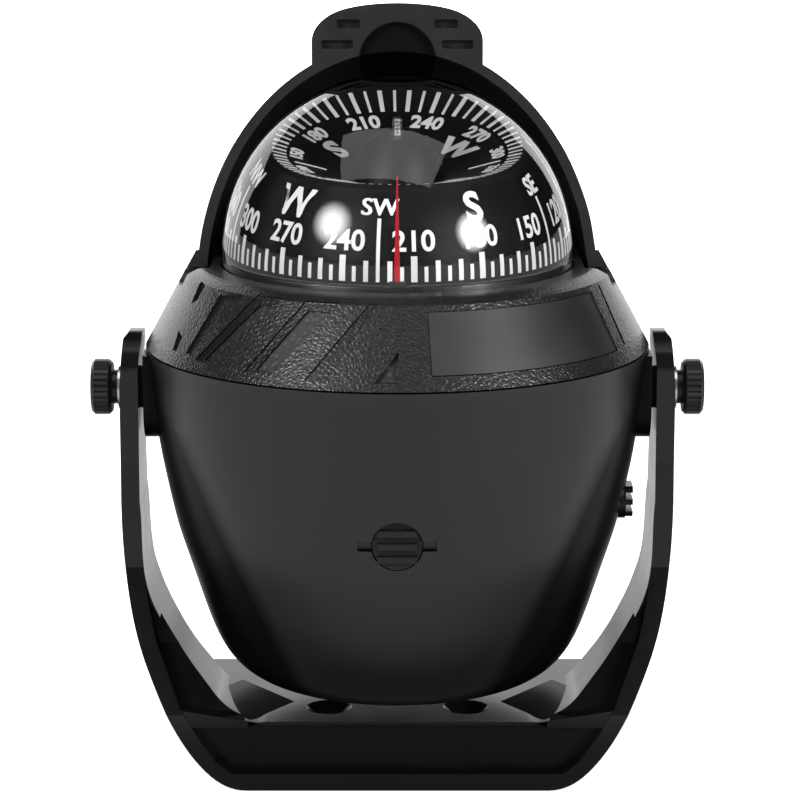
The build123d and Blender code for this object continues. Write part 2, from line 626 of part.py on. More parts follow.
# ---------------------------------------------------------------------- hood
def ellipsoid(a, b):
    """Solid ellipsoid of revolution about the hood's hinge axis."""
    count = 24
    points = []
    for k in range(count + 1):
        turn = math.pi * k / count
        points.append((-a * math.cos(turn), b * math.sin(turn)))
    curve = Spline(*points, tangents=[(0, 1), (0, -1)])
    face = make_face(curve + Line((a, 0), (-a, 0)))
    return Pos(0, HOOD_Y, HOOD_Z) * revolve(face, Axis.X)


def hood_plane():
    """Front plane of the hood: X across, local Y up the lean, normal to the front."""
    lean = math.radians(HOOD_LEAN)
    return Plane(origin=(0, HOOD_Y, HOOD_Z), x_dir=(1, 0, 0), z_dir=(0, -math.cos(lean), math.sin(lean)))


def tab_layer(face, depth):
    """Prism from a face on the front plane back into the tab."""
    back = hood_plane().z_dir * -1
    return extrude(face, amount=depth, dir=back)


def slot(width, height, x, u, depth):
    """Straight slot with small corners cut into the face of the thumb tab."""
    face = hood_plane() * (Pos(x, u) * RectangleRounded(width, height, 0.3))
    return tab_layer(face, depth)


def hood():
    """Movable hood behind the dome with two hinge ears and a thumb tab."""
    cavity = ellipsoid(HOOD_A - HOOD_T, HOOD_B - HOOD_T)
    plane = hood_plane()
    behind = plane * Pos(0, 0, -60) * Box(140, 200, 120)
    # the back reaches down behind the bezel; the sides stop above its rim
    grown = bezel_blank(-0.4) + cyl(29.9, 70, RIM_Z + 0.25)
    low_cut = box(-60, 60, -60, 60, 0, HOOD_LOW)
    shell = (ellipsoid(HOOD_A, HOOD_B) - cavity) & behind
    over = shell - grown - low_cut
    near = shell & cyl_x(8.2, -45, 45, HOOD_Y, HOOD_Z) & box(-60, 60, -60, 60, 76.95, 140)
    core = cyl_x(EAR_R, -EAR_X, EAR_X, HOOD_Y, HOOD_Z)
    near = near - box(-28.1, 28.1, -60, 60, 60, 140) - core
    cone = rev([(0, 60), (cone_r(60), 60), (cone_r(90), 90), (0, 90)])
    swell = ellipsoid(HOOD_A + 1.6, HOOD_B) - cavity
    shell = over + near
    ears = None
    for sign in (-1, 1):
        ear = cyl_x(EAR_R, sign * EAR_X, sign * 40, HOOD_Y, HOOD_Z) & cone
        root = cyl_x(5.6, sign * 28.2, sign * 32.6, HOOD_Y, HOOD_Z)
        root = (root & box(-60, 60, -60, 60, 77.0, 140) & behind & swell & cone) - core
        ear = ear + root - cyl_x(1.0 + RUN, sign * 30, sign * (PIN_END + 0.1), HOOD_Y, HOOD_Z)
        ears = ear if ears is None else ears + ear
    # thumb tab: straight sides, rounded corners, four slots and an arched recess
    corner = [(TAB_HALF, 37.2), (12.4, 38.8), (11.3, 40.1), (9.4, 41.3), (7.2, 42.0), (4.9, 42.4),
              (0, TAB_TOP)]
    top = Spline(*corner, *[(-x, u) for x, u in reversed(corner[:-1])])
    foot = Polyline((-TAB_HALF, 37.2), (-TAB_HALF, 32.6), (-6.5, 35.4), (0, 36.2), (6.5, 35.4),
                    (TAB_HALF, 32.6), (TAB_HALF, 37.2))
    tab = tab_layer(plane * make_face(top + foot), 3.0)
    for sign in (-1, 1):
        tab = tab - slot(3.5, 1.25, sign * 7.35, 39.6, 1.3)
        tab = tab - slot(4.7, 1.3, sign * 9.05, 36.5, 1.3)
    arch = plane * (Pos(0, 34.0) * Circle(5.87))
    return shell + ears + tab - tab_layer(arch, 1.2)


def hood_pins():
    """Two pins in the bezel that carry the hood."""
    return cyl_x(1.0, 29.8, PIN_END, HOOD_Y, HOOD_Z) + cyl_x(1.0, -PIN_END, -29.8, HOOD_Y, HOOD_Z)


# -------------------------------------------------------------- compensators
def compensator(head_r, head_in, head_out, shaft_end, prong):
    """Adjusting rod along +X: ribbed head, shaft with seal groove and two magnet holes."""
    rod = cyl_x(COMP_R, shaft_end, head_in) + cyl_x(head_r, head_in, head_out)
    for offset in (-1, 0, 1):
        height = offset * 1.9
        rib = box(head_out - 0.1, head_out + prong, -head_r * 0.8, head_r * 0.8, height - 0.45, height + 0.45)
        rod = rod + (rib & cyl_x(head_r, head_out - 0.2, head_out + prong + 1))
    ring = cyl_x(4, head_in - 4.0, head_in - 2.9) - cyl_x(2.15, head_in - 5, head_in - 2)
    rod = rod - ring
    for x in (shaft_end + 3, shaft_end + 7):
        rod = rod - cyl(1.0, -2.3, 2.3, x, 0)
    return rod


def comp_magnets(shaft_end):
    """Two small rod magnets across a compensator rod."""
    return cyl(1.0, -2.3, 2.3, shaft_end + 3, 0) + cyl(1.0, -2.3, 2.3, shaft_end + 7, 0)


def comp_seal(head_in):
    """O-ring on a compensator rod."""
    return Pos(head_in - 3.45, 0, 0) * Rot(0, 90, 0) * Torus(2.6, 0.44)


FRONT_PLACE = Pos(0, 0, FRONT_COMP_Z) * Rot(0, 0, -90)
SIDE_PLACE = Pos(0, 0, SIDE_COMP_Z)


def screws(radius, head_r, head_h, tip, face, circle, turns):
    """Identical screws round a circle."""
    solids = []
    for turn in turns:
        x, y = polar(circle, turn)
        solids.append(small_screw(radius, head_r, head_h, tip, face, x, y))
    return Compound(children=solids)


def pair(shape):
    """A right-hand piece and its left-hand twin."""
    return Compound(children=[shape, flip(shape)])


parts = {
    "mounting_bracket": bracket(),
    "serrated_washers": pair(serrated_washer()),
    "thumbscrew_right": thumbscrew(),
    "thumbscrew_left": flip(thumbscrew()),
    "captive_washer_right": captive_washer(),
    "captive_washer_left": flip(captive_washer()),
    "thread_inserts": pair(thread_insert()),
    "lower_housing": housing(),
    "bottom_cover": bottom_cover(),
    "cover_screws": screws(1.0, 1.8, 0.6, 21.5, 16.85, 15.2, (90, 210, 330)),
    "bezel_ring": bezel(),
    "bezel_panel": bezel_panel(),
    "bezel_screws": screws(1.5, 2.2, 1.8, 73.5, 57.5, LONG_SCREW_R, (45, 135, 225, 315)),
    "capsule_screws": screws(1.2, 1.9, 1.2, 74.8, FLANGE_FACE, CAPSULE_SCREW_R, CAPSULE_TURNS),
    "dome": dome(),
    "dome_seal": dome_seal(),
    "capsule_base": capsule_base(),
    "expansion_diaphragm": diaphragm(),
    "diaphragm_retainer": diaphragm_retainer(),
    "retainer_screws": screws(0.8, 1.3, 0.8, 64.9, 61.4, 13.5, (45, 135, 225, 315)),
    "fill_plug": fill_plug(),
    "roll_pins": gimbal_pins(True),
    "gimbal_ring": gimbal_ring(),
    "pitch_pins": gimbal_pins(False),
    "lubber_line": lubber_line(),
    "card_cradle": cradle(),
    "pivot_pin": pivot_pin(),
    "balance_weight": balance_weight(),
    "card_skirt": card_skirt(),
    "card_dial": card_dial(),
    "card_float": card_float(),
    "card_stud": card_stud(),
    "pivot_cup": pivot_cup(),
    "card_magnets": card_magnets(),
    "hood": hood(),
    "hood_pins": hood_pins(),
    "front_compensator": FRONT_PLACE * compensator(3.55, 31.7, 33.9, 10.5, 0.9),
    "front_compensator_magnets": FRONT_PLACE * comp_magnets(10.5),
    "front_compensator_seal": FRONT_PLACE * comp_seal(31.7),
    "side_compensator": SIDE_PLACE * compensator(3.0, 31.7, 34.8, 11.0, 1.1),
    "side_compensator_magnets": SIDE_PLACE * comp_magnets(11.0),
    "side_compensator_seal": SIDE_PLACE * comp_seal(31.7),
}

os.makedirs("parts", exist_ok=True)
for name, shape in parts.items():
    export_step(shape, f"parts/{name}.step")
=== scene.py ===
import bpy
import math
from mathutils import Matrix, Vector


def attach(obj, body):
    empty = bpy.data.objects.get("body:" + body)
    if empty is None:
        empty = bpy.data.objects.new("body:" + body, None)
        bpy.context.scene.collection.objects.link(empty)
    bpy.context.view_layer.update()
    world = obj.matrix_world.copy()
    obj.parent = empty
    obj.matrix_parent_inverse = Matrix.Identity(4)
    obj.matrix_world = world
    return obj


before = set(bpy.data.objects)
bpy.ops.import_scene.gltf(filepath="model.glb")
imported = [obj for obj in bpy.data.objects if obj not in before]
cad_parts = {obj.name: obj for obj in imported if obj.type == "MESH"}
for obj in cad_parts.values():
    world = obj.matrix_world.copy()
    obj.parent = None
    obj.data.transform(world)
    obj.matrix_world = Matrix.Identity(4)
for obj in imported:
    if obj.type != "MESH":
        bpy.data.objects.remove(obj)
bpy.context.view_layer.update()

MM = 0.001

# ------------------------------------------------------------ shared sizes (mm)
DOME_Z = 81.4           # centre and radius of the dome
DOME_R = 26.5
SEAM_Z = 67.3           # foot of the bezel cone: its height and radius
SEAM_R = 38.0
CONE = 0.543            # mm of radius lost per mm of height on the cone
SKIRT_LOW = (18.4, DOME_Z - 2.0)    # (radius, height) points of the card's wall and dial
SKIRT_MID = (17.4, DOME_Z + 4.8)
SKIRT_TOP = (14.6, DOME_Z + 10.3)
DIAL_OUT = (14.6, DOME_Z + 11.0)
DIAL_IN = (5.2, DOME_Z + 8.18)
LIP_Z = 78.6            # lower edge of the bezel's plain lip
LEDGE = (0.12, 0.24)    # depth where the shallow cuts of the bezel begin
RECESS = (0.42, 0.58)   # depth where its stippled floors begin
HINGE = (2.0, 75.4)     # hood hinge (Y, Z)
HOOD_LEAN = 7.0         # degrees
ARCH_UP = 34.0          # arched recess of the thumb tab: its centre above the hinge, and its radius
ARCH_R = 5.87
FRONT_HEADING = 217.0   # degrees printed on the skirt at the front
TOP_HEADING = 226.0     # degrees printed on the dial at the back
CUP_FLOOR = 65.4        # inside of the capsule cup, and where the dome stands on it
CUP_R = 24.25
DOME_FOOT = 76.4
FILM = 0.08             # gap between liquid and dome, so that no faces coincide
FONT_CAP = 0.70         # capital height of the built-in font at size 1


# ----------------------------------------------------------------- node helpers
def new_material(name):
    """Empty node material with its output and a Principled shader."""
    mat = bpy.data.materials.new(name)
    mat.use_nodes = True
    tree = mat.node_tree
    tree.nodes.clear()
    out = tree.nodes.new("ShaderNodeOutputMaterial")
    bsdf = tree.nodes.new("ShaderNodeBsdfPrincipled")
    tree.links.new(bsdf.outputs[0], out.inputs[0])
    return mat, tree, bsdf, out


def coords(tree):
    """Object-space position in metres."""
    return tree.nodes.new("ShaderNodeTexCoord").outputs["Object"]


def math_node(tree, operation, a, b=None):
    """One Math node; inputs may be sockets or numbers."""
    node = tree.nodes.new("ShaderNodeMath")
    node.operation = operation
    for slot, value in zip(node.inputs, (a, b)):
        if value is None:
            continue
        if isinstance(value, (int, float)):
            slot.default_value = value
        else:
            tree.links.new(value, slot)
    return node.outputs[0]


def split_xyz(tree, vector):
    """The three components of a vector socket."""
    node = tree.nodes.new("ShaderNodeSeparateXYZ")
    tree.links.new(vector, node.inputs[0])
    return node.outputs


def hypot_node(tree, a, b):
    """Square root of a squared plus b squared."""
    squares = [math_node(tree, "MULTIPLY", value, value) for value in (a, b)]
    return math_node(tree, "SQRT", math_node(tree, "ADD", *squares))


def surface_normal(tree):
    """Components of the shading normal."""
    return split_xyz(tree, tree.nodes.new("ShaderNodeNewGeometry").outputs["Normal"])


def noise(tree, vector, scale, detail=4.0, roughness=0.55):
    """Noise value at a scale per metre."""
    node = tree.nodes.new("ShaderNodeTexNoise")
    node.inputs["Scale"].default_value = scale
    node.inputs["Detail"].default_value = detail
    node.inputs["Roughness"].default_value = roughness
    tree.links.new(vector, node.inputs["Vector"])
    return node.outputs[0]


def remap(tree, value, low, high):
    """Value from 0..1 mapped to low..high."""
    node = tree.nodes.new("ShaderNodeMapRange")
    node.inputs["To Min"].default_value = low
    node.inputs["To Max"].default_value = high
    tree.links.new(value, node.inputs["Value"])
    return node.outputs[0]


def step(tree, value, start, end):
    """0 below start, 1 above end, smooth between."""
    node = tree.nodes.new("ShaderNodeMapRange")
    node.interpolation_type = "SMOOTHSTEP"
    node.inputs["From Min"].default_value = start
    node.inputs["From Max"].default_value = end
    tree.links.new(value, node.inputs["Value"])
    return node.outputs[0]


def mix_color(tree, factor, a, b):
    """Colour a to colour b by factor."""
    node = tree.nodes.new("ShaderNodeMix")
    node.data_type = "RGBA"
    if isinstance(factor, (int, float)):
        node.inputs[0].default_value = factor
    else:
        tree.links.new(factor, node.inputs[0])
    for slot, value in ((node.inputs[6], a), (node.inputs[7], b)):
        if isinstance(value, tuple):
            slot.default_value = (*value, 1.0)
        else:
            tree.links.new(value, slot)
    return node.outputs[2]


def bump(tree, height, strength, distance):
    """Bump node; distance in metres."""
    node = tree.nodes.new("ShaderNodeBump")
    node.inputs["Strength"].default_value = strength
    node.inputs["Distance"].default_value = distance
    tree.links.new(height, node.inputs["Height"])
    return node.outputs[0]


def housing_sheen(tree, pos):
    """Painted shade in the gloss: full in the middle, little towards the sides and the lower corners."""
    side_start, side_end = 0.0300, 0.0335
    shoulder_z, taper = 0.058, 0.47
    x, _, z = split_xyz(tree, pos)
    drop = math_node(tree, "MAXIMUM", math_node(tree, "SUBTRACT", shoulder_z, z), 0.0)
    lean = math_node(tree, "MULTIPLY", drop, taper)
    reach = math_node(tree, "ADD", math_node(tree, "ABSOLUTE", x), lean)
    return remap(tree, step(tree, reach, side_start, side_end), 1.0, 0.12)


def bracket_sheen(tree, pos):
    """Painted highlight and shade in the gloss: twice on the upper inner faces of the arms, a fifth on the
    floor plate.
    """
    arm_low, arm_high = 0.022, 0.034
    normal = surface_normal(tree)
    aside = step(tree, math_node(tree, "ABSOLUTE", normal[0]), 0.5, 0.8)
    upward = step(tree, normal[2], 0.45, 0.75)
    high = step(tree, split_xyz(tree, pos)[2], arm_low, arm_high)
    inner = math_node(tree, "MULTIPLY", aside, high)
    foot = math_node(tree, "MULTIPLY", aside, math_node(tree, "SUBTRACT", 1.0, high))
    low = math_node(tree, "MULTIPLY", math_node(tree, "MAXIMUM", upward, foot), 0.8)
    return math_node(tree, "SUBTRACT", math_node(tree, "ADD", 1.0, inner), low)


def hood_sheen(tree, pos):
    """Painted shade in the gloss: full, but little in the arched recess of the thumb tab."""
    x, y, z = split_xyz(tree, pos)
    lean = math.radians(HOOD_LEAN)
    back = math_node(tree, "MULTIPLY", math_node(tree, "SUBTRACT", y, HINGE[0] * MM), math.sin(lean))
    high = math_node(tree, "MULTIPLY", math_node(tree, "SUBTRACT", z, HINGE[1] * MM), math.cos(lean))
    up = math_node(tree, "SUBTRACT", math_node(tree, "ADD", back, high), ARCH_UP * MM)
    away = hypot_node(tree, x, up)
    return remap(tree, step(tree, away, (ARCH_R - 0.25) * MM, (ARCH_R + 0.1) * MM), 0.10, 1.0)


def plastic(name, dark, light, rough, grain_scale, grain, gloss=0.5, painted_gloss=None):
    """Moulded plastic with grain bump, slow colour change, rough patches and worn edges.

    The last argument, where given, is a function of the tree and the position that scales the gloss by place:
    painted highlight and shade.
    """
    mat, tree, bsdf, out = new_material(name)
    pos = coords(tree)
    slow = noise(tree, pos, 45, 3)
    fine = noise(tree, pos, grain_scale, 5, 0.6)
    base = mix_color(tree, slow, dark, light)
    geo = tree.nodes.new("ShaderNodeNewGeometry")
    edge = step(tree, geo.outputs["Pointiness"], 0.52, 0.58)
    worn = math_node(tree, "MULTIPLY", edge, 0.35)
    lifted = tuple(min(1.0, c * 2.2 + 0.004) for c in light)
    tree.links.new(mix_color(tree, worn, base, lifted), bsdf.inputs["Base Color"])
    spread = remap(tree, noise(tree, pos, 220, 3), rough - 0.05, rough + 0.06)
    tree.links.new(spread, bsdf.inputs["Roughness"])
    bsdf.inputs["Specular IOR Level"].default_value = gloss
    # gloss scaled by place: painted highlight and shade
    if painted_gloss is not None:
        level = math_node(tree, "MULTIPLY", painted_gloss(tree, pos), gloss)
        tree.links.new(level, bsdf.inputs["Specular IOR Level"])
    tree.links.new(bump(tree, fine, grain, 0.00006), bsdf.inputs["Normal"])
    return mat


def metal(name, color, rough, scale):
    """Turned metal with fine uneven lines."""
    mat, tree, bsdf, out = new_material(name)
    pos = coords(tree)
    fine = noise(tree, pos, scale, 5, 0.65)
    slow = noise(tree, pos, 160, 2)
    tint = tuple(c * 0.72 for c in color)
    tree.links.new(mix_color(tree, slow, tint, color), bsdf.inputs["Base Color"])
    bsdf.inputs["Metallic"].default_value = 1.0
    tree.links.new(remap(tree, fine, rough - 0.08, rough + 0.1), bsdf.inputs["Roughness"])
    tree.links.new(bump(tree, fine, 0.25, 0.00003), bsdf.inputs["Normal"])
    return mat


def bezel_material():
    """Leather-like grain on the cone, duller shallow cuts and coarse stipple in the recesses."""
    mat, tree, bsdf, out = new_material("bezel_grain")
    pos = coords(tree)
    x, y, z = split_xyz(tree, pos)
    drop = math_node(tree, "MULTIPLY", math_node(tree, "SUBTRACT", z, SEAM_Z * MM), CONE)
    cone = math_node(tree, "SUBTRACT", SEAM_R * MM, drop)
    depth = math_node(tree, "SUBTRACT", cone, hypot_node(tree, x, y))
    below_lip = math_node(tree, "LESS_THAN", z, LIP_Z * MM)
    inset, ledge = [math_node(tree, "MULTIPLY", step(tree, depth, low * MM, high * MM), below_lip)
                    for low, high in (RECESS, LEDGE)]
    cells = tree.nodes.new("ShaderNodeTexVoronoi")
    cells.feature = "DISTANCE_TO_EDGE"
    cells.inputs["Scale"].default_value = 1500
    tree.links.new(pos, cells.inputs["Vector"])
    leather = step(tree, cells.outputs["Distance"], 0.0, 0.35)
    dots = tree.nodes.new("ShaderNodeTexVoronoi")
    dots.inputs["Scale"].default_value = 1100
    tree.links.new(pos, dots.inputs["Vector"])
    stipple = step(tree, dots.outputs["Distance"], 0.15, 0.5)
    height = tree.nodes.new("ShaderNodeMix")
    tree.links.new(inset, height.inputs[0])
    tree.links.new(leather, height.inputs[2])
    tree.links.new(stipple, height.inputs[3])
    slow = noise(tree, pos, 60, 3)
    top = mix_color(tree, slow, (0.0050, 0.0050, 0.0055), (0.0075, 0.0075, 0.0080))
    floor = mix_color(tree, stipple, (0.0220, 0.0220, 0.0230), (0.0040, 0.0040, 0.0044))
    tree.links.new(mix_color(tree, inset, top, floor), bsdf.inputs["Base Color"])
    rough = math_node(tree, "ADD", math_node(tree, "MULTIPLY", inset, 0.16), 0.36)
    tree.links.new(rough, bsdf.inputs["Roughness"])
    smooth = math_node(tree, "MULTIPLY", ledge, math_node(tree, "SUBTRACT", 1.0, inset))
    tree.links.new(remap(tree, smooth, 0.42, 0.30), bsdf.inputs["Specular IOR Level"])
    tree.links.new(bump(tree, height.outputs[0], 0.45, 0.00008), bsdf.inputs["Normal"])
    return mat


def dome_material():
    """Clear acrylic wall: see-through with a sharp reflection that grows at the rim."""
    mat, tree, bsdf, out = new_material("dome_clear")
    tree.nodes.remove(bsdf)
    fresnel = tree.nodes.new("ShaderNodeFresnel")
    fresnel.inputs["IOR"].default_value = 1.49
    clear = tree.nodes.new("ShaderNodeBsdfTransparent")
    gloss = tree.nodes.new("ShaderNodeBsdfGlossy")
    smear = noise(tree, coords(tree), 180, 3)
    tree.links.new(remap(tree, smear, 0.0, 0.05), gloss.inputs["Roughness"])
    mix = tree.nodes.new("ShaderNodeMixShader")
    geo = tree.nodes.new("ShaderNodeNewGeometry")
    front = math_node(tree, "SUBTRACT", 1.0, geo.outputs["Backfacing"])
    tree.links.new(math_node(tree, "MULTIPLY", fresnel.outputs[0], front), mix.inputs[0])
    tree.links.new(clear.outputs[0], mix.inputs[1])
    tree.links.new(gloss.outputs[0], mix.inputs[2])
    tree.links.new(mix.outputs[0], out.inputs[0])
    return mat


def liquid_material():
    """Clear damping liquid that magnifies the card; lamps shine through it."""
    mat, tree, bsdf, out = new_material("damping_liquid")
    tree.nodes.remove(bsdf)
    bend = tree.nodes.new("ShaderNodeBsdfRefraction")
    bend.inputs["IOR"].default_value = 1.42
    bend.inputs["Roughness"].default_value = 0.0
    tint = noise(tree, coords(tree), 30, 2)
    tree.links.new(mix_color(tree, tint, (0.985, 0.99, 0.99), (1.0, 1.0, 1.0)), bend.inputs["Color"])
    clear = tree.nodes.new("ShaderNodeBsdfTransparent")
    path = tree.nodes.new("ShaderNodeLightPath")
    lamp = math_node(tree, "MAXIMUM", path.outputs["Is Shadow Ray"], path.outputs["Is Diffuse Ray"])
    mix = tree.nodes.new("ShaderNodeMixShader")
    tree.links.new(lamp, mix.inputs[0])
    tree.links.new(bend.outputs[0], mix.inputs[1])
    tree.links.new(clear.outputs[0], mix.inputs[2])
    tree.links.new(mix.outputs[0], out.inputs[0])
    return mat


def print_material(name, color):
    """Screen-printed ink with slightly uneven cover."""
    mat, tree, bsdf, out = new_material(name)
    pos = coords(tree)
    cover = noise(tree, pos, 900, 4)
    worn = tuple(c * 0.86 for c in color)
    tree.links.new(mix_color(tree, cover, worn, color), bsdf.inputs["Base Color"])
    tree.links.new(remap(tree, cover, 0.45, 0.6), bsdf.inputs["Roughness"])
    tree.links.new(bump(tree, cover, 0.1, 0.00001), bsdf.inputs["Normal"])
    return mat


# -------------------------------------------------------------------- materials
def black(low, high, blue=0.0):
    """Dark and light tone of a black plastic; blue is added to its third channel."""
    return (low, low, low + blue), (high, high, high + blue)


M = {
    # bracket, housing and hood take a gloss with painted highlight and shade by place
    "bracket": plastic("bracket_black", *black(0.0022, 0.0034, 0.0004), 0.20, 2600, 0.06, 0.32,
                       bracket_sheen),
    "housing": plastic("housing_black", *black(0.0010, 0.0016, 0.0002), 0.31, 2400, 0.12, 0.5, housing_sheen),
    "bezel": bezel_material(),
    "panel": plastic("panel_gloss", *black(0.0030, 0.0040, 0.0004), 0.42, 900, 0.03, 0.65),
    "hood": plastic("hood_black", *black(0.0028, 0.0042, 0.0004), 0.42, 2200, 0.14, 0.35, hood_sheen),
    "knob": plastic("knob_black", *black(0.0040, 0.0065), 0.40, 2800, 0.14, 0.4),
    "adjuster": plastic("adjuster_black", *black(0.0030, 0.0050), 0.40, 2800, 0.14, 0.22),
    "rubber": plastic("seal_rubber", *black(0.0050, 0.0080), 0.66, 3000, 0.3, 0.3),
    "card": plastic("card_black", *black(0.0016, 0.0026, 0.0002), 0.45, 2600, 0.05, 0.12),
    "gimbal": plastic("gimbal_black", *black(0.0040, 0.0060), 0.45, 2600, 0.12, 0.4),
    "red": plastic("lubber_red", (0.17, 0.003, 0.007), (0.22, 0.004, 0.010), 0.36, 1800, 0.1, 0.2),
    "steel": metal("stainless_steel", (0.62, 0.62, 0.63), 0.28, 2600),
    "magnet": metal("magnet_plating", (0.30, 0.30, 0.32), 0.42, 2200),
    "brass": metal("turned_brass", (0.80, 0.60, 0.28), 0.30, 2600),
    "dome": dome_material(),
    "liquid": liquid_material(),
    "white": print_material("card_white_ink", (0.74, 0.74, 0.73)),
    "dial_white": print_material("dial_white_ink", (0.55, 0.55, 0.54)),
}
NODE_MATERIAL = {
    "mounting_bracket": "bracket", "serrated_washers": "rubber", "thumbscrew_right": "knob",
    "thumbscrew_left": "knob", "captive_washer_right": "steel", "captive_washer_left": "steel",
    "thread_inserts": "brass", "lower_housing": "housing", "bottom_cover": "housing",
    "cover_screws": "steel", "bezel_ring": "bezel", "bezel_panel": "panel", "bezel_screws": "steel",
    "capsule_screws": "steel", "dome": "dome", "dome_seal": "rubber", "capsule_base": "gimbal",
    "expansion_diaphragm": "rubber", "diaphragm_retainer": "gimbal", "retainer_screws": "steel",
    "fill_plug": "brass", "roll_pins": "steel", "gimbal_ring": "gimbal", "pitch_pins": "steel",
    "lubber_line": "red", "card_cradle": "gimbal", "pivot_pin": "steel", "balance_weight": "brass",
    "card_skirt": "card", "card_dial": "card", "card_float": "card", "card_stud": "steel",
    "pivot_cup": "brass", "card_magnets": "magnet", "hood": "hood", "hood_pins": "steel",
    "front_compensator": "adjuster", "front_compensator_magnets": "magnet",
    "front_compensator_seal": "rubber", "side_compensator": "adjuster",
    "side_compensator_magnets": "magnet", "side_compensator_seal": "rubber",
}
for node, key in NODE_MATERIAL.items():
    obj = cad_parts[node]
    obj.data.materials.clear()
    obj.data.materials.append(M[key])


# ------------------------------------------------------------- printed markings
def circle_through(a, b, c):
    """Centre and radius of the circle through three (radius, height) points."""
    ax, ay = a
    bx, by = b
    cx, cy = c
    d = 2 * (ax * (by - cy) + bx * (cy - ay) + cx * (ay - by))
    a2 = ax ** 2 + ay ** 2
    b2 = bx ** 2 + by ** 2
    c2 = cx ** 2 + cy ** 2
    ux = (a2 * (by - cy) + b2 * (cy - ay) + c2 * (ay - by)) / d
    uy = (a2 * (cx - bx) + b2 * (ax - cx) + c2 * (bx - ax)) / d
    return ux, uy, math.hypot(ax - ux, ay - uy)


ARC = circle_through(SKIRT_LOW, SKIRT_MID, SKIRT_TOP)
ARC_START = math.atan2(SKIRT_LOW[1] - ARC[1], SKIRT_LOW[0] - ARC[0])


def skirt_point(turn, along, lift):
    """Point on the skirt: degrees from the front towards +X, and mm up along its profile."""
    angle = ARC_START + along / ARC[2]
    radius = ARC[0] + (ARC[2] + lift) * math.cos(angle)
    z = ARC[1] + (ARC[2] + lift) * math.sin(angle)
    a = math.radians(turn)
    return Vector((radius * math.sin(a), -radius * math.cos(a), z)) * MM


def skirt_radius(along):
    """Radius of the skirt at mm up along its profile."""
    return ARC[0] + ARC[2] * math.cos(ARC_START + along / ARC[2])


DIAL_SLOPE = math.atan2(DIAL_OUT[1] - DIAL_IN[1], DIAL_OUT[0] - DIAL_IN[0])


def dial_point(turn, out, lift):
    """Point on the dished dial: degrees from the back towards +X, and radius in mm."""
    z = DIAL_IN[1] + (out - DIAL_IN[0]) * math.tan(DIAL_SLOPE) + lift
    a = math.radians(turn)
    return Vector((out * math.sin(a), out * math.cos(a), z)) * MM


def mesh_object(name, verts, faces, mat, body):
    """Mesh piece that rides on a body."""
    mesh = bpy.data.meshes.new(name)
    mesh.from_pydata([tuple(v) for v in verts], [], faces)
    mesh.update()
    obj = bpy.data.objects.new(name, mesh)
    bpy.context.scene.collection.objects.link(obj)
    mesh.materials.append(mat)
    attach(obj, body)
    return obj


def strip(place, turn, half_width, low, high, verts, faces, rows=5):
    """Thin raised bar on a curved surface; half_width is in mm at each row."""
    start = len(verts)
    for lift in (-0.05, 0.06):
        for k in range(rows + 1):
            along = low + (high - low) * k / rows
            reach = skirt_radius(along) if place is skirt_point else along
            half = math.degrees(half_width / reach)
            verts.append(place(turn - half, along, lift))
            verts.append(place(turn + half, along, lift))
    layer = 2 * (rows + 1)
    for k in range(rows):
        a = start + 2 * k
        b = a + layer
        faces.append((b, b + 1, b + 3, b + 2))
        faces.append((a + 2, a + 3, a + 1, a))
        faces.append((a, b, b + 2, a + 2))
        faces.append((a + 1, a + 3, b + 3, b + 1))
    end = start + 2 * rows
    faces.append((start, start + 1, start + layer + 1, start + layer))
    faces.append((end + 1, end, end + layer, end + layer + 1))


def text_mesh(text, height, bold):
    """Flat outline of a word as (points, faces), centred, with a given capital height in mm."""
    curve = bpy.data.curves.new("word", "FONT")
    curve.body = text
    curve.align_x = "CENTER"
    curve.size = 1.0
    # the font's W breaks when it is thickened, so its words get shifted copies instead
    shifted = "W" in text
    curve_bold = 0.0 if shifted else bold
    curve.offset = curve_bold
    curve.resolution_u = 4
    curve.extrude = 0.03
    holder = bpy.data.objects.new("word", curve)
    bpy.context.scene.collection.objects.link(holder)
    deps = bpy.context.evaluated_depsgraph_get()
    mesh = bpy.data.meshes.new_from_object(holder.evaluated_get(deps))
    scale = height / (FONT_CAP + curve_bold)
    points = []
    faces = []
    for shift in (-bold, 0.0, bold) if shifted else (0.0,):
        start = len(points)
        points += [((v.co.x + shift) * scale, v.co.y * scale, v.co.z) for v in mesh.vertices]
        faces += [tuple(start + i for i in p.vertices) for p in mesh.polygons]
    bpy.data.objects.remove(holder)
    bpy.data.curves.remove(curve)
    bpy.data.meshes.remove(mesh)
    return points, faces


def word(place, turn, base, text, height, bold, verts, faces):
    """Word wrapped on a curved surface with its foot at base."""
    points, polys = text_mesh(text, height, bold)
    start = len(verts)
    for x, y, z in points:
        along = base + y
        reach = skirt_radius(base + height / 2) if place is skirt_point else base + height / 2
        lift = 0.06 if z > 0 else -0.05
        verts.append(place(turn + math.degrees(x / reach), along, lift))
    for poly in polys:
        faces.append(tuple(start + i for i in poly))


CARDINALS = {0: "N", 45: "NE", 90: "E", 135: "SE", 180: "S", 225: "SW", 270: "W", 315: "NW"}


def skirt_markings():
    """Ticks every 5 degrees, numbers every 30 and compass letters on the skirt."""
    verts = []
    faces = []
    foot = 0.75
    for heading in range(0, 360, 5):
        turn = FRONT_HEADING - heading
        if heading % 90 == 45:
            half, tall = 0.24, 8.35
        elif heading % 30 == 0:
            half, tall = 0.42, 3.4
        elif heading % 10 == 0:
            half, tall = 0.32, 2.75
        else:
            half, tall = 0.25, 2.0
        strip(skirt_point, turn, half, foot, foot + tall, verts, faces)
        if heading % 30 == 0:
            number = str(heading if heading else 360)
            word(skirt_point, turn, 4.85, number, 2.75, 0.022, verts, faces)
        if heading in CARDINALS:
            letters = CARDINALS[heading]
            if len(letters) == 1:
                word(skirt_point, turn, 8.3, letters, 4.0, 0.032, verts, faces)
            else:
                word(skirt_point, turn, 9.55, letters, 2.3, 0.028, verts, faces)
    return mesh_object("skirt_markings", verts, faces, M["white"], "card")


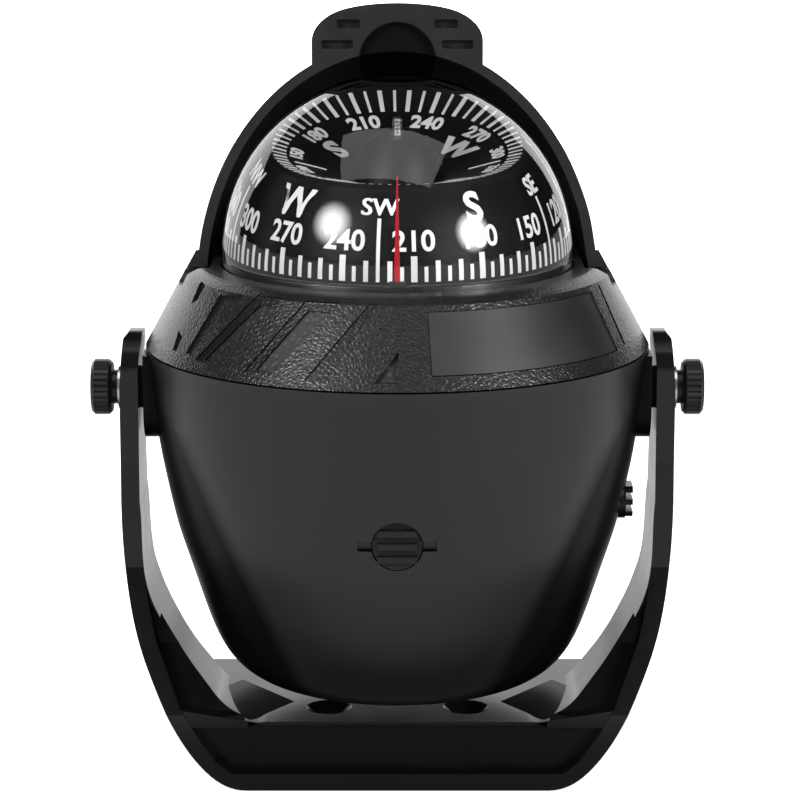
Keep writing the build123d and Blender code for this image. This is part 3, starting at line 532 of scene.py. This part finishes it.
def dial_markings():
    """Ticks, numbers, letters and long diagonal lines on the dial, read against the far side."""
    verts = []
    faces = []
    for heading in range(0, 360, 5):
        turn = heading - TOP_HEADING
        half = 0.19 if heading % 10 == 0 else 0.12
        strip(dial_point, turn, half, 12.4, 14.3, verts, faces, 3)
        if heading % 30 == 0:
            number = str(heading if heading else 360)
            word(dial_point, turn, 10.5, number, 1.5, 0.03, verts, faces)
        if heading % 90 == 0:
            word(dial_point, turn, 7.3, CARDINALS[heading], 2.7, 0.04, verts, faces)
        elif heading % 90 == 45:
            strip(dial_point, turn, 0.14, 7.8, 11.6, verts, faces, 3)
    return mesh_object("dial_markings", verts, faces, M["dial_white"], "card")


skirt_print = skirt_markings()
dial_print = dial_markings()


# ---------------------------------------------------------------------- liquid
def lathe(name, profile, steps, mat, body):
    """Closed surface of revolution from (radius, height) points that start and end on the axis."""
    verts = [Vector((0, 0, profile[0][1])) * MM]
    faces = []
    rings = profile[1:-1]
    for radius, z in rings:
        for k in range(steps):
            a = 2 * math.pi * k / steps
            verts.append(Vector((radius * math.cos(a), radius * math.sin(a), z)) * MM)
    verts.append(Vector((0, 0, profile[-1][1])) * MM)
    last = len(verts) - 1
    for k in range(steps):
        n = (k + 1) % steps
        faces.append((0, 1 + n, 1 + k))
        for r in range(len(rings) - 1):
            a = 1 + r * steps
            b = a + steps
            faces.append((a + k, a + n, b + n, b + k))
        top = 1 + (len(rings) - 1) * steps
        faces.append((top + k, top + n, last))
    obj = mesh_object(name, verts, faces, mat, body)
    obj.data.polygons.foreach_set("use_smooth", [True] * len(obj.data.polygons))
    return obj


def liquid_profile():
    """Liquid that fills the capsule up to the dome."""
    rows = 64
    radius = DOME_R - FILM
    start = math.asin((DOME_FOOT - DOME_Z) / radius)
    points = [(0, CUP_FLOOR), (CUP_R - 0.05, CUP_FLOOR), (CUP_R, CUP_FLOOR + 0.1),
              (CUP_R, DOME_FOOT - 1.2), (CUP_R + 0.15, DOME_FOOT - 0.8)]
    for k in range(rows + 1):
        angle = start + (math.pi / 2 - start) * k / rows
        points.append((radius * math.cos(angle), DOME_Z + radius * math.sin(angle)))
    points[-1] = (0, DOME_Z + radius)
    return points


liquid = lathe("damping_liquid", liquid_profile(), 192, M["liquid"], "housing")


# ------------------------------------------------------- floor, lights, camera
SHADOW_STRETCH = 1.6      # width over depth of the floor's painted shadow, a zone round the object that gives no light
SHADOW_FADE = 0.016       # metres over which it ends


def white_stage(name, corners, glow, shadow_reach=None):
    """Pale stage surface of four corners: glow is its own light, over what the camera sees as white.

    The last argument, where given, is the size of the zone round the object that gives no light: a painted
    shadow of the object.
    """
    mat, tree, bsdf, out = new_material(name)
    pos = coords(tree)
    tree.links.new(mix_color(tree, noise(tree, pos, 3, 2), (0.10, 0.10, 0.10), (0.11, 0.11, 0.11)),
                   bsdf.inputs["Base Color"])
    bsdf.inputs["Roughness"].default_value = 0.9
    bsdf.inputs["Specular IOR Level"].default_value = 0.1
    bsdf.inputs["Emission Color"].default_value = (1.0, 1.0, 1.0, 1.0)
    path = tree.nodes.new("ShaderNodeLightPath")
    light = glow
    if shadow_reach is not None:
        # painted shadow: no glow close round the object
        x, y, _ = split_xyz(tree, pos)
        away = hypot_node(tree, math_node(tree, "DIVIDE", x, SHADOW_STRETCH), y)
        light = math_node(tree, "MULTIPLY", step(tree, away, shadow_reach, shadow_reach + SHADOW_FADE), glow)
    light = math_node(tree, "ADD", path.outputs["Is Camera Ray"], light)
    tree.links.new(light, bsdf.inputs["Emission Strength"])
    mesh = bpy.data.meshes.new(name)
    mesh.from_pydata(corners, [], [(0, 1, 2, 3)])
    obj = bpy.data.objects.new(name, mesh)
    bpy.context.scene.collection.objects.link(obj)
    mesh.materials.append(mat)
    mesh.polygons.foreach_set("use_smooth", [True] * len(mesh.polygons))
    return obj


def stage():
    """Flat floor all round, and a white wall some way behind the object."""
    half, z = 6, -0.0002
    corners = [(-half, -half, z), (half, -half, z), (half, half, z), (-half, half, z)]
    # 0.042 is the reach of the floor's painted shadow round the object
    white_stage("floor", corners, 0.70, 0.042)
    left, right, back, top = -1.1, 0.65, 0.75, 0.55
    white_stage("back_wall", [(left, back, 0), (right, back, 0), (right, back, top), (left, back, top)], 2.4)


def lamp(name, direction, distance, width, height, radiance, soft):
    """Lamp on a line from the dome, aimed at it; soft lamps are discs that fade to their edge."""
    data = bpy.data.lights.new(name, "AREA")
    data.shape = "ELLIPSE" if soft else "RECTANGLE"
    data.size = width
    data.size_y = height
    share = math.pi / 4 if soft else 1.0
    data.energy = radiance * math.pi * width * height * share
    centre = Vector((0, 0, DOME_Z * MM))
    obj = bpy.data.objects.new(name, data)
    obj.location = centre + Vector(direction).normalized() * distance
    obj.rotation_euler = (centre - obj.location).to_track_quat("-Z", "Y").to_euler()
    bpy.context.scene.collection.objects.link(obj)
    obj.visible_camera = False
    if soft:
        data.use_nodes = True
        tree = data.node_tree
        glow = tree.nodes["Emission"]
        geo = tree.nodes.new("ShaderNodeNewGeometry")
        u, v, _ = split_xyz(tree, geo.outputs["Parametric"])
        far = hypot_node(tree, *[math_node(tree, "SUBTRACT", value, 0.5) for value in (u, v)])
        tree.links.new(step(tree, far, 0.5, 0.12), glow.inputs["Strength"])
    return obj


stage()
world = bpy.data.worlds.new("studio")
bpy.context.scene.world = world
world.use_nodes = True
sky = world.node_tree
ray = sky.nodes.new("ShaderNodeLightPath")
SKY_LIGHT = 0.03
sky_level = math_node(sky, "MAXIMUM", ray.outputs["Is Camera Ray"], SKY_LIGHT)
sky.links.new(sky_level, sky.nodes["Background"].inputs[1])
sky.nodes["Background"].inputs[0].default_value = (1.0, 1.0, 1.0, 1.0)
lamp("front_left", (-0.66, -0.65, 0.38), 1.2, 0.62, 0.62, 32.0, True)
lamp("front_right", (0.75, -0.60, 0.28), 1.2, 0.55, 0.55, 52.0, True)
lamp("overhead", (-0.035, -0.18, 0.60), 0.62, 0.64, 0.42, 2.1, False)

CAMERA_PLACE = (0.0004, -0.450, 0.156)
CAMERA_PITCH = 12.25    # degrees down
FOCAL_WIDTHS = 3.785    # focal length over frame width

camera = bpy.data.cameras.new("camera")
camera.sensor_width = 36.0
camera.lens = FOCAL_WIDTHS * camera.sensor_width
camera.clip_start = 0.01
camera.clip_end = 20
view = bpy.data.objects.new("camera", camera)
view.location = CAMERA_PLACE
view.rotation_euler = (math.radians(90 - CAMERA_PITCH), 0, 0)
bpy.context.scene.collection.objects.link(view)
bpy.context.scene.camera = view
bpy.context.scene.view_settings.view_transform = "Standard"
